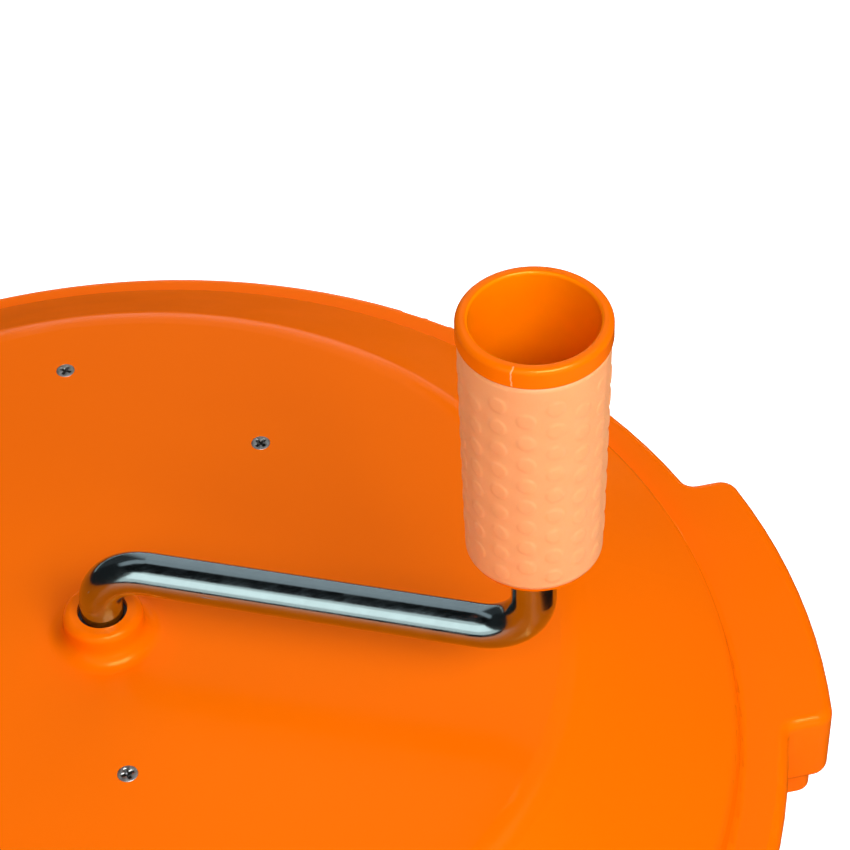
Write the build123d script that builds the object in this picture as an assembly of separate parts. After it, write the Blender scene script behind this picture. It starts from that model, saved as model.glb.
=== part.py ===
"""Hand-cranked salad spinner: tub, spinning basket, lid with a two-stage gearbox, crank and grip.

Millimetres, +Z up, ears on +X and -X, origin on the floor under the middle of the tub.
"""
import os
from math import acos, cos, pi, sin, tan, radians, atan2, degrees, hypot

from build123d import *

# Fits
RUNNING = 0.05
SEAT = 0.05
AXIAL = 0.2
FACE_GAP = 0.3
LOOSE = 1.0

# Tub
FOOT_HEIGHT = 5.0
FOOT_RADIUS = 12.0
FOOT_INSET = 22.0
FOOT_COUNT = 4
TUB_HEIGHT = 327.7
TUB_TOP_RADIUS = 195.0
TUB_TAPER = 23.0
TUB_WALL = 3.5
TUB_FLOOR_RISE = 12.0
TUB_LIP = 2.5
TUB_LIP_HEIGHT = 8.0

# Lid
LID_WALL = 4.0
LID_RISE = 40.3
LID_PLATEAU_MARGIN = 34.6
LID_SHOULDER_INSET = 7.3
LID_STEP = 8.0
LID_STEP_SLOPE = 1.9
LID_OVERHANG = 9.0
LID_SKIRT = 34.0
LID_SKIRT_DRAFT = 2.0
EAR_REACH = 14.0
EAR_WIDTH = 105.8
EAR_HEIGHT = 28.4
EAR_WALL = 3.5
EAR_NEST = 1.0
TUB_EAR_DROP = 11.0
BOSS_WALL = 6.05
BOSS_HEIGHT = 9.8
BOSS_FLARE = 5.0
BOSS_GAP = 1.05
BOSS_LIP = 2.5

# Crank and grip
ROD_RADIUS = 6.35
ROD_BEND = 16.0
ARM_HEIGHT = 28.7
CRANK_THROW = 129.2
CRANK_AZIMUTH = -25.8
GRIP_LOW = 65.4
GRIP_TOP = 149.0
GRIP_RING_HEIGHT = 6.4
GRIP_RING = 1.3
GRIP_TOP_RADIUS = 18.9
GRIP_TAPER = 1.2
GRIP_WALL = 1.6
GRIP_SLEEVE = 0.8
GRIP_SLEEVE_LIFT = 2.4
GRIP_HUB_HEIGHT = 18.5
DOT_COLUMNS = 16
DOT_ROWS = 9
DOT_PITCH = 7.83
DOT_FIRST = 7.6
DOT_RADIUS = 2.7
DOT_HEIGHT = 0.35
DOT_TURN = -110.5
ROD_STEP = 1.35
NUT_THICK = 1.6

# Gearbox
MODULE = 2.5
WHEEL_TEETH = 31
PINION_TEETH = 17
PRESSURE_ANGLE = 20.0
BACKLASH = 0.3
GEAR_WIDTH = 12.0
GEARBOX_TURN = -1.7
PAN_CLEAR = 3.75
PAN_WALL = 3.0
PAN_FLOOR = 4.0
GASKET_THICK = 1.5
BUSH_WALL = 3.0
FLANGE_THICK = 2.0
WASHER_THICK = 1.6
AXLE_RADIUS = 4.0
HUB_WALL = 4.65
SCREW_HEAD = 3.0
SCREW_SHANK = 1.5
SCREW_LENGTH = 22.0
SCREW_SIDE = 12.0
SCREW_FRONT = 9.5
SCREW_BACK = 10.0
SCREW_SHIFT = 8.0
PILLAR_RADIUS = 5.0
COLLAR_DROP = 4.0
SEAL_THICK = 3.0
ROD_TAIL = 3.0

# Basket and drive plate
BASKET_LOW = 40.0
BASKET_DROP = 15.7
BASKET_GAP_LOW = 20.0
BASKET_GAP_TOP = 22.0
BASKET_WALL = 2.7
BASKET_FLANGE = 6.0
BASKET_FLANGE_THICK = 3.5
SLOT_COLUMNS = 36
SLOT_ROWS = 3
SLOT_WIDTH = 5.0
SLOT_BRIDGE = 18.0
DOG_COUNT = 6
DOG_WIDTH = 14.0
DOG_DEPTH = 7.0
PLATE_THICK = 3.0
PLATE_RIB = 8.0
DRIVE_HEX = 17.0
DRIVE_SCREW = 3.0
PIVOT_RADIUS = 6.0
PIVOT_HEIGHT = 36.0

# Drain
DRAIN_LIFT = 7.0
DRAIN_RADIUS = 9.0
DRAIN_WALL = 2.5
DRAIN_STAND = 28.0
DRAIN_PAD = 6.0
DRAIN_FLANGE = 5.0

# Heights and radii that follow
TUB_RIM_Z = FOOT_HEIGHT + TUB_HEIGHT
LID_RIM_Z = TUB_RIM_Z + LID_WALL
LID_TOP_Z = LID_RIM_Z + LID_RISE
LID_UNDER_Z = LID_TOP_Z - LID_WALL
LID_SKIRT_Z = LID_RIM_Z - LID_SKIRT
EAR_LOW_Z = LID_RIM_Z - EAR_HEIGHT
TUB_BASE_RADIUS = TUB_TOP_RADIUS - TUB_TAPER
FOOT_CIRCLE = TUB_BASE_RADIUS - FOOT_INSET
LID_SHOULDER_RADIUS = TUB_TOP_RADIUS - LID_SHOULDER_INSET
LID_RIM_RADIUS = TUB_TOP_RADIUS + LID_OVERHANG
EAR_RADIUS = LID_RIM_RADIUS + EAR_REACH
BASKET_BASE_RADIUS = TUB_BASE_RADIUS - BASKET_GAP_LOW
BASKET_TOP_RADIUS = TUB_TOP_RADIUS - BASKET_GAP_TOP
BOSS_RADIUS = ROD_RADIUS + BOSS_WALL
BOSS_HOLE = ROD_RADIUS + BOSS_GAP
HUB_RADIUS = ROD_RADIUS + HUB_WALL
ROD_END_RADIUS = ROD_RADIUS - ROD_STEP
GRIP_RING_RADIUS = GRIP_TOP_RADIUS + GRIP_RING
DRAIN_BORE = DRAIN_RADIUS - DRAIN_WALL
DRAIN_REACH = TUB_BASE_RADIUS + DRAIN_STAND
TUB_FLOOR_Z = FOOT_HEIGHT + TUB_FLOOR_RISE + TUB_WALL
DRAIN_HEIGHT = TUB_FLOOR_Z + DRAIN_RADIUS + DRAIN_LIFT
TUB_EAR_LOW_Z = EAR_LOW_Z - TUB_EAR_DROP
TUB_EAR_RADIUS = EAR_RADIUS - EAR_WALL - EAR_NEST
TUB_EAR_WIDTH = EAR_WIDTH - 2 * (EAR_WALL + EAR_NEST)
AXLE_Y = MODULE * (WHEEL_TEETH + PINION_TEETH) / 2
WHEEL_TIP = MODULE * (WHEEL_TEETH + 2) / 2
PAN_RADIUS = WHEEL_TIP + PAN_CLEAR
LID_PLATEAU_RADIUS = AXLE_Y + PAN_RADIUS + LID_PLATEAU_MARGIN
UPPER_TOP_Z = LID_UNDER_Z - FLANGE_THICK - AXIAL
UPPER_LOW_Z = UPPER_TOP_Z - GEAR_WIDTH
LOWER_TOP_Z = UPPER_LOW_Z - WASHER_THICK - AXIAL
LOWER_LOW_Z = LOWER_TOP_Z - GEAR_WIDTH
PAN_FLOOR_Z = LOWER_LOW_Z - AXIAL - FLANGE_THICK
PAN_LOW_Z = PAN_FLOOR_Z - PAN_FLOOR
COLLAR_LOW_Z = PAN_LOW_Z - COLLAR_DROP
SEAL_LOW_Z = COLLAR_LOW_Z - AXIAL - SEAL_THICK
HEX_TOP_Z = SEAL_LOW_Z - AXIAL
BASKET_TOP_Z = TUB_RIM_Z - BASKET_DROP
PLATE_LOW_Z = BASKET_TOP_Z + FACE_GAP
PLATE_TOP_Z = PLATE_LOW_Z + PLATE_THICK
HEX_LOW_Z = PLATE_LOW_Z + 1.2
PLATE_HUB_Z = HEX_LOW_Z - AXIAL - PLATE_THICK
ROD_LOW_Z = LOWER_LOW_Z + ROD_TAIL
PIVOT_TOP_Z = TUB_FLOOR_Z + PIVOT_HEIGHT
GRIP_LOW_Z = LID_TOP_Z + GRIP_LOW
GRIP_HUB_Z = GRIP_LOW_Z + GRIP_HUB_HEIGHT
GRIP_TOP_Z = LID_TOP_Z + GRIP_TOP
GRIP_RING_Z = GRIP_TOP_Z - GRIP_RING_HEIGHT
SHOULDER_Z = GRIP_LOW_Z - AXIAL - WASHER_THICK / 2
ROD_TOP_Z = GRIP_HUB_Z + AXIAL + WASHER_THICK / 2 + NUT_THICK + 1.5


def tube(outer, inner, low, high):
    """A ring about the Z axis."""
    return Pos(0, 0, low) * extrude(Circle(outer) - Circle(inner), high - low)


def rod(radius, low, high):
    """A round bar about the Z axis."""
    return Pos(0, 0, low) * extrude(Circle(radius), high - low)


def turned(points, radii):
    """A body turned about Z from a closed profile of (radius, height) corners."""
    return revolve(Plane.XZ * make_face(FilletPolyline(*points, radius=radii, close=True)), Axis.Z)


def along_y(shape, y):
    """A shape made along Z laid down so that its Z axis runs along +Y from y."""
    return Pos(0, y, DRAIN_HEIGHT) * Rot(-90, 0, 0) * shape


def in_gearbox(shape):
    """The gearbox stands turned a little from the line of the ears."""
    return Rot(0, 0, GEARBOX_TURN) * shape


def at_grip(shape):
    """A shape about Z carried to the axis of the grip."""
    return Rot(0, 0, CRANK_AZIMUTH) * Pos(CRANK_THROW, 0, 0) * shape


def ear_plan(radius, width, inner):
    """Both ears in plan: parallel sides, outer end on a circle about the middle."""
    strip = Rectangle(2 * radius + 20, width)
    return (Circle(radius) & strip) - Circle(inner)


def tub_radius(z):
    """Outer radius of the tub wall at a height."""
    share = (z - FOOT_HEIGHT) / (TUB_HEIGHT - TUB_LIP_HEIGHT)
    return TUB_BASE_RADIUS + share * (TUB_TOP_RADIUS - TUB_BASE_RADIUS)


def basket_radius(z):
    """Outer radius of the basket wall at a height."""
    share = (z - BASKET_LOW) / (BASKET_TOP_Z - BASKET_LOW)
    return BASKET_BASE_RADIUS + share * (BASKET_TOP_RADIUS - BASKET_BASE_RADIUS)


def polar(radius, angle):
    """A point from its radius and its angle in radians."""
    return (radius * cos(angle), radius * sin(angle))


def gear_face(teeth, first_tooth):
    """Involute tooth outline with the middle of one tooth at the given angle in degrees."""
    pitch = MODULE * teeth / 2
    base = pitch * cos(radians(PRESSURE_ANGLE))
    tip = pitch + MODULE
    root = pitch - 1.25 * MODULE
    start = max(base, root)
    involute = tan(radians(PRESSURE_ANGLE)) - radians(PRESSURE_ANGLE)
    half = (pi * MODULE / 2 - BACKLASH / 2) / (2 * pitch) + involute

    def flank(radius):
        """Half the angle of a tooth at a radius."""
        turn = acos(base / radius)
        return half - (tan(turn) - turn)

    middle = (start + tip) / 2
    step = 2 * pi / teeth
    edges = []
    for tooth in range(teeth):
        centre = radians(first_tooth) + tooth * step
        left = centre - flank(start)
        right = centre + flank(start)
        tip_left = polar(tip, centre - flank(tip))
        tip_right = polar(tip, centre + flank(tip))
        edges.append(Line(polar(root, left), polar(start, left)))
        edges.append(ThreePointArc(polar(start, left), polar(middle, centre - flank(middle)), tip_left))
        edges.append(ThreePointArc(tip_left, polar(tip, centre), tip_right))
        edges.append(ThreePointArc(tip_right, polar(middle, centre + flank(middle)), polar(start, right)))
        edges.append(Line(polar(start, right), polar(root, right)))
        gap_end = left + step
        edges.append(ThreePointArc(polar(root, right), polar(root, centre + step / 2), polar(root, gap_end)))
    return make_face(edges)


def gear(teeth, first_tooth, low):
    """A solid gear blank with teeth."""
    return Pos(0, 0, low) * extrude(gear_face(teeth, first_tooth), GEAR_WIDTH)


def pear(radius, low, high):
    """The gearbox outline: a slot round the crank axis and the counter axle."""
    outline = Pos(0, AXLE_Y / 2) * Rot(0, 0, 90) * SlotCenterToCenter(AXLE_Y, 2 * radius)
    return Pos(0, 0, low) * extrude(outline, high - low)


def screw_points():
    """Screw places in the gearbox frame, each with the nearest point of the pear's spine."""
    places = [(0, -PAN_RADIUS - SCREW_FRONT, 0), (0, AXLE_Y + PAN_RADIUS + SCREW_BACK, AXLE_Y)]
    for side in (-1, 1):
        places.append((side * (PAN_RADIUS + SCREW_SIDE), 0, 0))
        places.append((side * (PAN_RADIUS + SCREW_SIDE), AXLE_Y + SCREW_SHIFT, AXLE_Y))
    return places


def tub():
    """Tapered tub with a raised floor, lip, two hollow ears, foot bosses, pivot boss and drain pad."""
    lip_z = TUB_RIM_Z - TUB_LIP_HEIGHT
    lip_radius = TUB_TOP_RADIUS + TUB_LIP
    ring_z = FOOT_HEIGHT + TUB_FLOOR_RISE
    outline = [
        (0, FOOT_HEIGHT),
        (TUB_BASE_RADIUS, FOOT_HEIGHT),
        (TUB_TOP_RADIUS, lip_z),
        (lip_radius, lip_z + TUB_LIP),
        (lip_radius, TUB_RIM_Z),
        (0, TUB_RIM_Z),
    ]
    body = turned(outline, [0, 3, 2, 1, 1.5, 0])
    ears = ear_plan(TUB_EAR_RADIUS, TUB_EAR_WIDTH, TUB_BASE_RADIUS)
    ear_top = TUB_RIM_Z - LOOSE
    block = Pos(0, 0, TUB_EAR_LOW_Z) * extrude(ears, ear_top - TUB_EAR_LOW_Z)
    corners = block.edges().filter_by(Axis.Z).filter_by(lambda e: abs(e.center().X) > TUB_TOP_RADIUS)
    block = fillet(corners, 5)
    body += block
    hollow = [
        (0, TUB_FLOOR_Z),
        (tub_radius(TUB_FLOOR_Z) - TUB_WALL, TUB_FLOOR_Z),
        (TUB_TOP_RADIUS - TUB_WALL, TUB_RIM_Z + 1),
        (0, TUB_RIM_Z + 1),
    ]
    body -= turned(hollow, [0, 3, 0, 0])
    under = [
        (0, FOOT_HEIGHT - 1),
        (TUB_BASE_RADIUS - TUB_WALL, FOOT_HEIGHT - 1),
        (tub_radius(ring_z) - TUB_WALL, ring_z),
        (0, ring_z),
    ]
    body -= turned(under, [0, 0, 2, 0])
    pocket_plan = ear_plan(TUB_EAR_RADIUS - EAR_WALL, TUB_EAR_WIDTH - 2 * EAR_WALL, TUB_BASE_RADIUS)
    pocket = Pos(0, 0, TUB_EAR_LOW_Z - 1) * extrude(pocket_plan, ear_top - TUB_EAR_LOW_Z + 1 - EAR_WALL)
    body -= pocket - rod(TUB_TOP_RADIUS, TUB_EAR_LOW_Z - 2, TUB_RIM_Z)
    for place in PolarLocations(FOOT_CIRCLE, FOOT_COUNT, start_angle=180 / FOOT_COUNT):
        body += place * rod(FOOT_RADIUS + 2, FOOT_HEIGHT, ring_z)
        body -= place * rod(FOOT_RADIUS / 3 + SEAT, FOOT_HEIGHT, FOOT_HEIGHT + TUB_FLOOR_RISE / 2)
    boss_top = TUB_FLOOR_Z + PIVOT_HEIGHT / 3
    body += turned([(0, ring_z), (30, ring_z), (16, boss_top), (0, boss_top)], [0, 0, 2, 0])
    body -= rod(PIVOT_RADIUS + SEAT, ring_z + 1, boss_top + 1)
    pad_length = drain_face() - drain_inner()
    body += along_y(rod(DRAIN_RADIUS + DRAIN_FLANGE, 0, pad_length), drain_inner())
    body -= along_y(rod(DRAIN_RADIUS + SEAT, -1, pad_length + 1), drain_inner())
    return body


def tub_feet():
    """Rubber feet with spigots pushed into the foot bosses."""
    foot = turned([(0, 0), (FOOT_RADIUS - 1, 0), (FOOT_RADIUS, FOOT_HEIGHT), (0, FOOT_HEIGHT)], [0, 1, 0, 0])
    foot += rod(FOOT_RADIUS / 3, FOOT_HEIGHT - 1, FOOT_HEIGHT + TUB_FLOOR_RISE / 2 - FACE_GAP)
    places = PolarLocations(FOOT_CIRCLE, FOOT_COUNT, start_angle=180 / FOOT_COUNT)
    return Compound(children=[place * foot for place in places])


def pivot_pin():
    """Steel pin in the floor of the tub that the basket turns on."""
    low = FOOT_HEIGHT + TUB_FLOOR_RISE + 1
    outline = [(0, low), (PIVOT_RADIUS, low), (PIVOT_RADIUS, PIVOT_TOP_Z), (0, PIVOT_TOP_Z)]
    return turned(outline, [0, 0, 1, 0])


def drain_face():
    """Where the outer flat of the drain pad lies along Y."""
    return tub_radius(DRAIN_HEIGHT) + DRAIN_PAD - 2


def drain_inner():
    """Where the inner flat of the drain pad lies along Y."""
    return tub_radius(DRAIN_HEIGHT) - TUB_WALL - DRAIN_PAD


def drain_spout():
    """Drain spout: flange against the pad, stem through the wall, plain end for a hose."""
    stem_low = drain_inner() - GASKET_THICK - 7
    body = along_y(rod(DRAIN_RADIUS, 0, DRAIN_REACH - stem_low), stem_low)
    body += along_y(rod(DRAIN_RADIUS + DRAIN_FLANGE, 0, 3), drain_face())
    body -= along_y(rod(DRAIN_BORE, -1, DRAIN_REACH - stem_low + 1), stem_low)
    return body


def drain_gasket():
    """Rubber ring between the drain nut and the wall pad."""
    return along_y(tube(DRAIN_RADIUS + DRAIN_FLANGE - 1, DRAIN_RADIUS + SEAT, 0, GASKET_THICK), drain_inner() - GASKET_THICK)


def drain_nut():
    """Hexagon nut on the stem of the spout."""
    plan = RegularPolygon(DRAIN_RADIUS + 3.5, 6, major_radius=False) - Circle(DRAIN_RADIUS + SEAT)
    return along_y(extrude(plan, 6), drain_inner() - GASKET_THICK - 6)


def drain_plug():
    """Rubber stopper in the end of the spout."""
    body = rod(DRAIN_BORE - 2 * SEAT, -12, 0) + rod(DRAIN_RADIUS - 1, 0, 4)
    return along_y(body, DRAIN_REACH)


def basket():
    """Slotted basket with a rim flange, drive notches, a slotted floor and a bearing hub."""
    low = BASKET_LOW
    hub_top = PIVOT_TOP_Z + BASKET_WALL + FLANGE_THICK
    hub = PIVOT_RADIUS + 2 * BUSH_WALL + BASKET_WALL
    outline = [
        (0, low),
        (BASKET_BASE_RADIUS, low),
        (BASKET_TOP_RADIUS, BASKET_TOP_Z - BASKET_FLANGE_THICK),
        (BASKET_TOP_RADIUS + BASKET_FLANGE, BASKET_TOP_Z - BASKET_FLANGE_THICK),
        (BASKET_TOP_RADIUS + BASKET_FLANGE, BASKET_TOP_Z),
        (BASKET_TOP_RADIUS - BASKET_WALL, BASKET_TOP_Z),
        (BASKET_BASE_RADIUS - BASKET_WALL, low + BASKET_WALL),
        (hub * 2, low + BASKET_WALL),
        (hub, hub_top),
        (0, hub_top),
    ]
    body = turned(outline, [0, 6, 1, 1, 1, 0, 4, 6, 2, 0])
    body -= rod(PIVOT_RADIUS + BUSH_WALL + SEAT, low - 1, PIVOT_TOP_Z + FLANGE_THICK)
    floor_length = (BASKET_BASE_RADIUS - 2 * hub) / 2 - 7.5
    floor_slot = Pos(0, 0, low) * Box(floor_length, SLOT_WIDTH, 12)
    inner_row = 2 * hub + 5 + floor_length / 2
    outer_row = inner_row + floor_length + 4
    cuts = [place * floor_slot for place in PolarLocations(inner_row, SLOT_COLUMNS // 2)]
    cuts += [place * floor_slot for place in PolarLocations(outer_row, SLOT_COLUMNS)]
    pitch = (BASKET_TOP_Z - low - 30) / SLOT_ROWS
    for row in range(SLOT_ROWS):
        z = low + 14 + pitch * (row + 0.5)
        slot = Pos(0, 0, z) * Box(30, SLOT_WIDTH, pitch - SLOT_BRIDGE)
        cuts += [place * slot for place in PolarLocations(basket_radius(z), SLOT_COLUMNS)]
    notch = Pos(0, 0, BASKET_TOP_Z) * Box(40, DOG_WIDTH + 2 * LOOSE, 2 * (DOG_DEPTH + LOOSE))
    cuts += [place * notch for place in PolarLocations(BASKET_TOP_RADIUS, DOG_COUNT, start_angle=5)]
    return body - cuts


def basket_bearing():
    """Bearing cup pressed into the basket hub, resting on the top of the pivot pin."""
    body = rod(PIVOT_RADIUS + BUSH_WALL, BASKET_LOW, PIVOT_TOP_Z + FLANGE_THICK)
    return body - rod(PIVOT_RADIUS + RUNNING, BASKET_LOW - 1, PIVOT_TOP_Z)


def lid_outer():
    """Outer form of the lid: plateau, cone, step, rim, skirt and the two ears."""
    step_z = LID_RIM_Z + LID_STEP
    outline = [
        (0, LID_TOP_Z),
        (LID_PLATEAU_RADIUS, LID_TOP_Z),
        (LID_SHOULDER_RADIUS, step_z),
        (LID_SHOULDER_RADIUS + LID_STEP_SLOPE, LID_RIM_Z),
        (LID_RIM_RADIUS, LID_RIM_Z),
        (LID_RIM_RADIUS - LID_SKIRT_DRAFT, LID_SKIRT_Z),
        (0, LID_SKIRT_Z),
    ]
    body = turned(outline, [0, 16, 5, 2.5, 0, 0, 0])
    plan = ear_plan(EAR_RADIUS, EAR_WIDTH, LID_SHOULDER_RADIUS)
    block = Pos(0, 0, EAR_LOW_Z) * extrude(plan, EAR_HEIGHT)
    corners = block.edges().filter_by(Axis.Z).filter_by(lambda e: abs(e.center().X) > LID_RIM_RADIUS)
    block = fillet(corners, 6)
    low_edges = block.faces().sort_by(Axis.Z)[0].edges() + block.faces().sort_by(Axis.Z)[1].edges()
    block = fillet(low_edges.filter_by(lambda e: hypot(e.center().X, e.center().Y) > LID_RIM_RADIUS), 3)
    body += block
    inner = body.edges().filter_by(lambda e: is_ear_root(e))
    body = fillet(inner, 4)
    top = body.faces().filter_by(lambda f: is_rim_flat(f)).sort_by(SortBy.AREA)[-1]
    return fillet(top.outer_wire().edges(), 3.5)


def is_ear_root(edge):
    """An upright edge where an ear meets the rim."""
    middle = edge.center()
    upright = abs(edge.tangent_at(0.5).Z) > 0.9
    reach = hypot(middle.X, middle.Y)
    return upright and abs(reach - LID_RIM_RADIUS) < 2 and abs(abs(middle.Y) - EAR_WIDTH / 2) < 1


def is_rim_flat(face):
    """The flat top of the rim."""
    return face.geom_type == GeomType.PLANE and abs(face.center().Z - LID_RIM_Z) < 0.01


def lid():
    """Moulded lid with a plain shell inside, a crank boss, an axle boss and screw holes."""
    wall = LID_WALL
    lean = (LID_SHOULDER_RADIUS - LID_PLATEAU_RADIUS) / (LID_RISE - LID_STEP)
    drop = wall * (hypot(1, lean) - lean)
    step_in = LID_SHOULDER_RADIUS + LID_STEP_SLOPE - wall
    inside = [
        (0, LID_UNDER_Z),
        (LID_PLATEAU_RADIUS - drop, LID_UNDER_Z),
        (LID_SHOULDER_RADIUS - wall, LID_RIM_Z + LID_STEP - wall),
        (step_in, TUB_RIM_Z),
        (LID_RIM_RADIUS - wall, TUB_RIM_Z),
        (LID_RIM_RADIUS - LID_SKIRT_DRAFT - wall, LID_SKIRT_Z - 1),
        (0, LID_SKIRT_Z - 1),
    ]
    body = lid_outer() - turned(inside, [0, 12, 1, 1, 1, 0, 0])
    hood = ear_plan(EAR_RADIUS - EAR_WALL, EAR_WIDTH - 2 * EAR_WALL, LID_SHOULDER_RADIUS)
    body -= Pos(0, 0, LID_SKIRT_Z - 1) * extrude(hood, TUB_RIM_Z - LID_SKIRT_Z + 1)
    boss_top = LID_TOP_Z + BOSS_HEIGHT
    flare = BOSS_RADIUS + BOSS_FLARE + 0.5
    boss = [
        (0, LID_UNDER_Z),
        (flare, LID_UNDER_Z),
        (flare, LID_TOP_Z),
        (BOSS_RADIUS, LID_TOP_Z),
        (BOSS_RADIUS - 0.6, boss_top),
        (0, boss_top),
    ]
    body += turned(boss, [0, 0, 0, BOSS_FLARE, 2.5, 0])
    body -= rod(BOSS_HOLE, LID_UNDER_Z - 1, boss_top + 1)
    body -= rod(ROD_RADIUS + RUNNING + BUSH_WALL + SEAT, LID_UNDER_Z - 1, boss_top - BOSS_LIP)
    axle = Pos(0, AXLE_Y, 0) * rod(2 * AXLE_RADIUS, LID_UNDER_Z - FLANGE_THICK, LID_UNDER_Z)
    body += in_gearbox(axle)
    body -= in_gearbox(Pos(0, AXLE_Y, 0) * rod(AXLE_RADIUS + SEAT, LID_UNDER_Z - 3, LID_UNDER_Z + wall / 2))
    for x, y, spine in screw_points():
        body -= in_gearbox(Pos(x, y, 0) * screw_form(SEAT))
    return body


def screw_form(grow):
    """A countersunk screw about Z, or its hole when grown."""
    head = SCREW_HEAD + grow
    shank = SCREW_SHANK + grow
    neck = LID_TOP_Z - (head - shank)
    tip = LID_TOP_Z - SCREW_LENGTH - grow
    return turned([(0, tip), (shank, tip), (shank, neck), (head, LID_TOP_Z), (0, LID_TOP_Z)], 0)


def gearbox_screws():
    """Countersunk screws from the top of the lid into the pillars of the gearbox cover."""
    return Compound(children=[in_gearbox(Pos(x, y, 0) * screw_form(0)) for x, y, spine in screw_points()])


def crank_bushing():
    """Flanged bushing for the crank rod, pushed into the boss from below."""
    bore = ROD_RADIUS + RUNNING
    body = rod(bore + BUSH_WALL, LID_UNDER_Z - FLANGE_THICK, LID_TOP_Z + BOSS_HEIGHT - BOSS_LIP - AXIAL)
    body += rod(bore + 2.5 * BUSH_WALL, LID_UNDER_Z - FLANGE_THICK, LID_UNDER_Z)
    return body - rod(bore, LID_UNDER_Z - 3, LID_TOP_Z + BOSS_HEIGHT)


def gearbox_cover():
    """Pan under the gears with screw pillars, an axle boss and a bearing collar."""
    rim = LID_UNDER_Z - GASKET_THICK
    body = pear(PAN_RADIUS + PAN_WALL, PAN_LOW_Z, rim)
    low_edges = body.faces().sort_by(Axis.Z)[0].edges()
    body = fillet(low_edges, 2)
    for x, y, spine in screw_points():
        away = degrees(atan2(y - spine, x))
        reach = hypot(x, y - spine)
        web = Pos((PAN_RADIUS + 1 + reach) / 2, 0, 0) * Rectangle(reach - PAN_RADIUS - 1, 4)
        fin = Pos(0, spine, PAN_FLOOR_Z + 4) * Rot(0, 0, away) * extrude(web, rim - PAN_FLOOR_Z - 4)
        body += fin
        body += Pos(x, y, 0) * rod(PILLAR_RADIUS, PAN_FLOOR_Z + 4, LID_UNDER_Z)
    body -= pear(PAN_RADIUS, PAN_FLOOR_Z, rim + 1)
    for x, y, spine in screw_points():
        body -= Pos(x, y, 0) * rod(SCREW_SHANK + SEAT, LID_TOP_Z - SCREW_LENGTH - 2, LID_TOP_Z)
    collar = HUB_RADIUS + RUNNING + BUSH_WALL
    body += rod(collar + PAN_WALL, COLLAR_LOW_Z, PAN_LOW_Z + 1)
    body -= rod(collar + SEAT, COLLAR_LOW_Z - 1, PAN_FLOOR_Z + 1)
    axle = Pos(0, AXLE_Y, 0) * rod(2 * AXLE_RADIUS, PAN_FLOOR_Z - 1, PAN_FLOOR_Z + FLANGE_THICK)
    body += axle
    body -= Pos(0, AXLE_Y, 0) * rod(AXLE_RADIUS + SEAT, PAN_LOW_Z + 1.5, PAN_FLOOR_Z + 3)
    return in_gearbox(body)


def gearbox_gasket():
    """Gasket between the gearbox cover and the lid."""
    low = LID_UNDER_Z - GASKET_THICK
    body = pear(PAN_RADIUS + PAN_WALL, low, LID_UNDER_Z) - pear(PAN_RADIUS, low - 1, LID_UNDER_Z + 1)
    for x, y, spine in screw_points():
        body -= Pos(x, y, 0) * rod(PILLAR_RADIUS + SEAT, low - 1, LID_UNDER_Z + 1)
    return in_gearbox(body)


def counter_axle():
    """Fixed steel axle of the counter gear."""
    return in_gearbox(Pos(0, AXLE_Y, 0) * rod(AXLE_RADIUS, PAN_LOW_Z + 1.5, LID_UNDER_Z + LID_WALL / 2 - AXIAL))


def output_bushing():
    """Flanged bushing for the output hub in the collar of the gearbox cover."""
    bore = HUB_RADIUS + RUNNING
    body = rod(bore + BUSH_WALL, COLLAR_LOW_Z, PAN_FLOOR_Z + FLANGE_THICK)
    body += rod(bore + 2 * BUSH_WALL, PAN_FLOOR_Z, PAN_FLOOR_Z + FLANGE_THICK)
    return body - rod(bore, COLLAR_LOW_Z - 1, PAN_FLOOR_Z + FLANGE_THICK + 1)


def output_seal():
    """Rubber ring that turns with the output hub under the bearing collar."""
    return tube(HUB_RADIUS + BUSH_WALL + 1, HUB_RADIUS + SEAT, SEAL_LOW_Z, COLLAR_LOW_Z - AXIAL)


def crank_rod():
    """Bent steel rod: shaft in the lid, level arm, upright end for the grip."""
    arm_z = LID_TOP_Z + ARM_HEIGHT
    start = (0, ROD_LOW_Z)
    corners = [start, (0, arm_z), (CRANK_THROW, arm_z), (CRANK_THROW, SHOULDER_Z)]
    path = Plane.XZ * FilletPolyline(*corners, radius=ROD_BEND)
    body = sweep(Pos(0, 0, ROD_LOW_Z) * Circle(ROD_RADIUS), path)
    body += Pos(CRANK_THROW, 0, 0) * rod(ROD_END_RADIUS, SHOULDER_Z, ROD_TOP_Z)
    body = Rot(0, 0, CRANK_AZIMUTH) * body
    return body - cross_bar(SEAT)


def cross_bar(grow):
    """The cross pin of the crank gear, or its hole when grown."""
    length = 2 * (ROD_RADIUS + 2 * BUSH_WALL + grow)
    z = (UPPER_TOP_Z + UPPER_LOW_Z) / 2 + GEAR_WIDTH / 4
    return in_gearbox(Pos(0, 0, z) * Rot(0, 90, 0) * Cylinder(1.75 + grow, length))


def crank_gear():
    """Large gear pinned to the crank rod, dished on top round its hub."""
    body = gear(WHEEL_TEETH, 90, UPPER_LOW_Z)
    hub = ROD_RADIUS + 2 * BUSH_WALL
    root = WHEEL_TIP - 2.25 * MODULE
    body -= tube(root - 3.5, hub, UPPER_LOW_Z + GEAR_WIDTH / 2, UPPER_TOP_Z + 1)
    body -= rod(ROD_RADIUS + SEAT, UPPER_LOW_Z - 1, UPPER_TOP_Z + 1)
    middle = (root + hub) / 2
    hole = rod(6, UPPER_LOW_Z - 1, UPPER_TOP_Z)
    body -= [place * hole for place in PolarLocations(middle, 6)]
    return in_gearbox(body) - cross_bar(SEAT)


def crank_pin():
    """Cross pin that locks the crank gear to the rod."""
    return cross_bar(0)


def crank_washer():
    """Thrust washer under the crank gear."""
    return tube(ROD_RADIUS + BUSH_WALL + 1, ROD_RADIUS + SEAT, UPPER_LOW_Z - WASHER_THICK, UPPER_LOW_Z)


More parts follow.
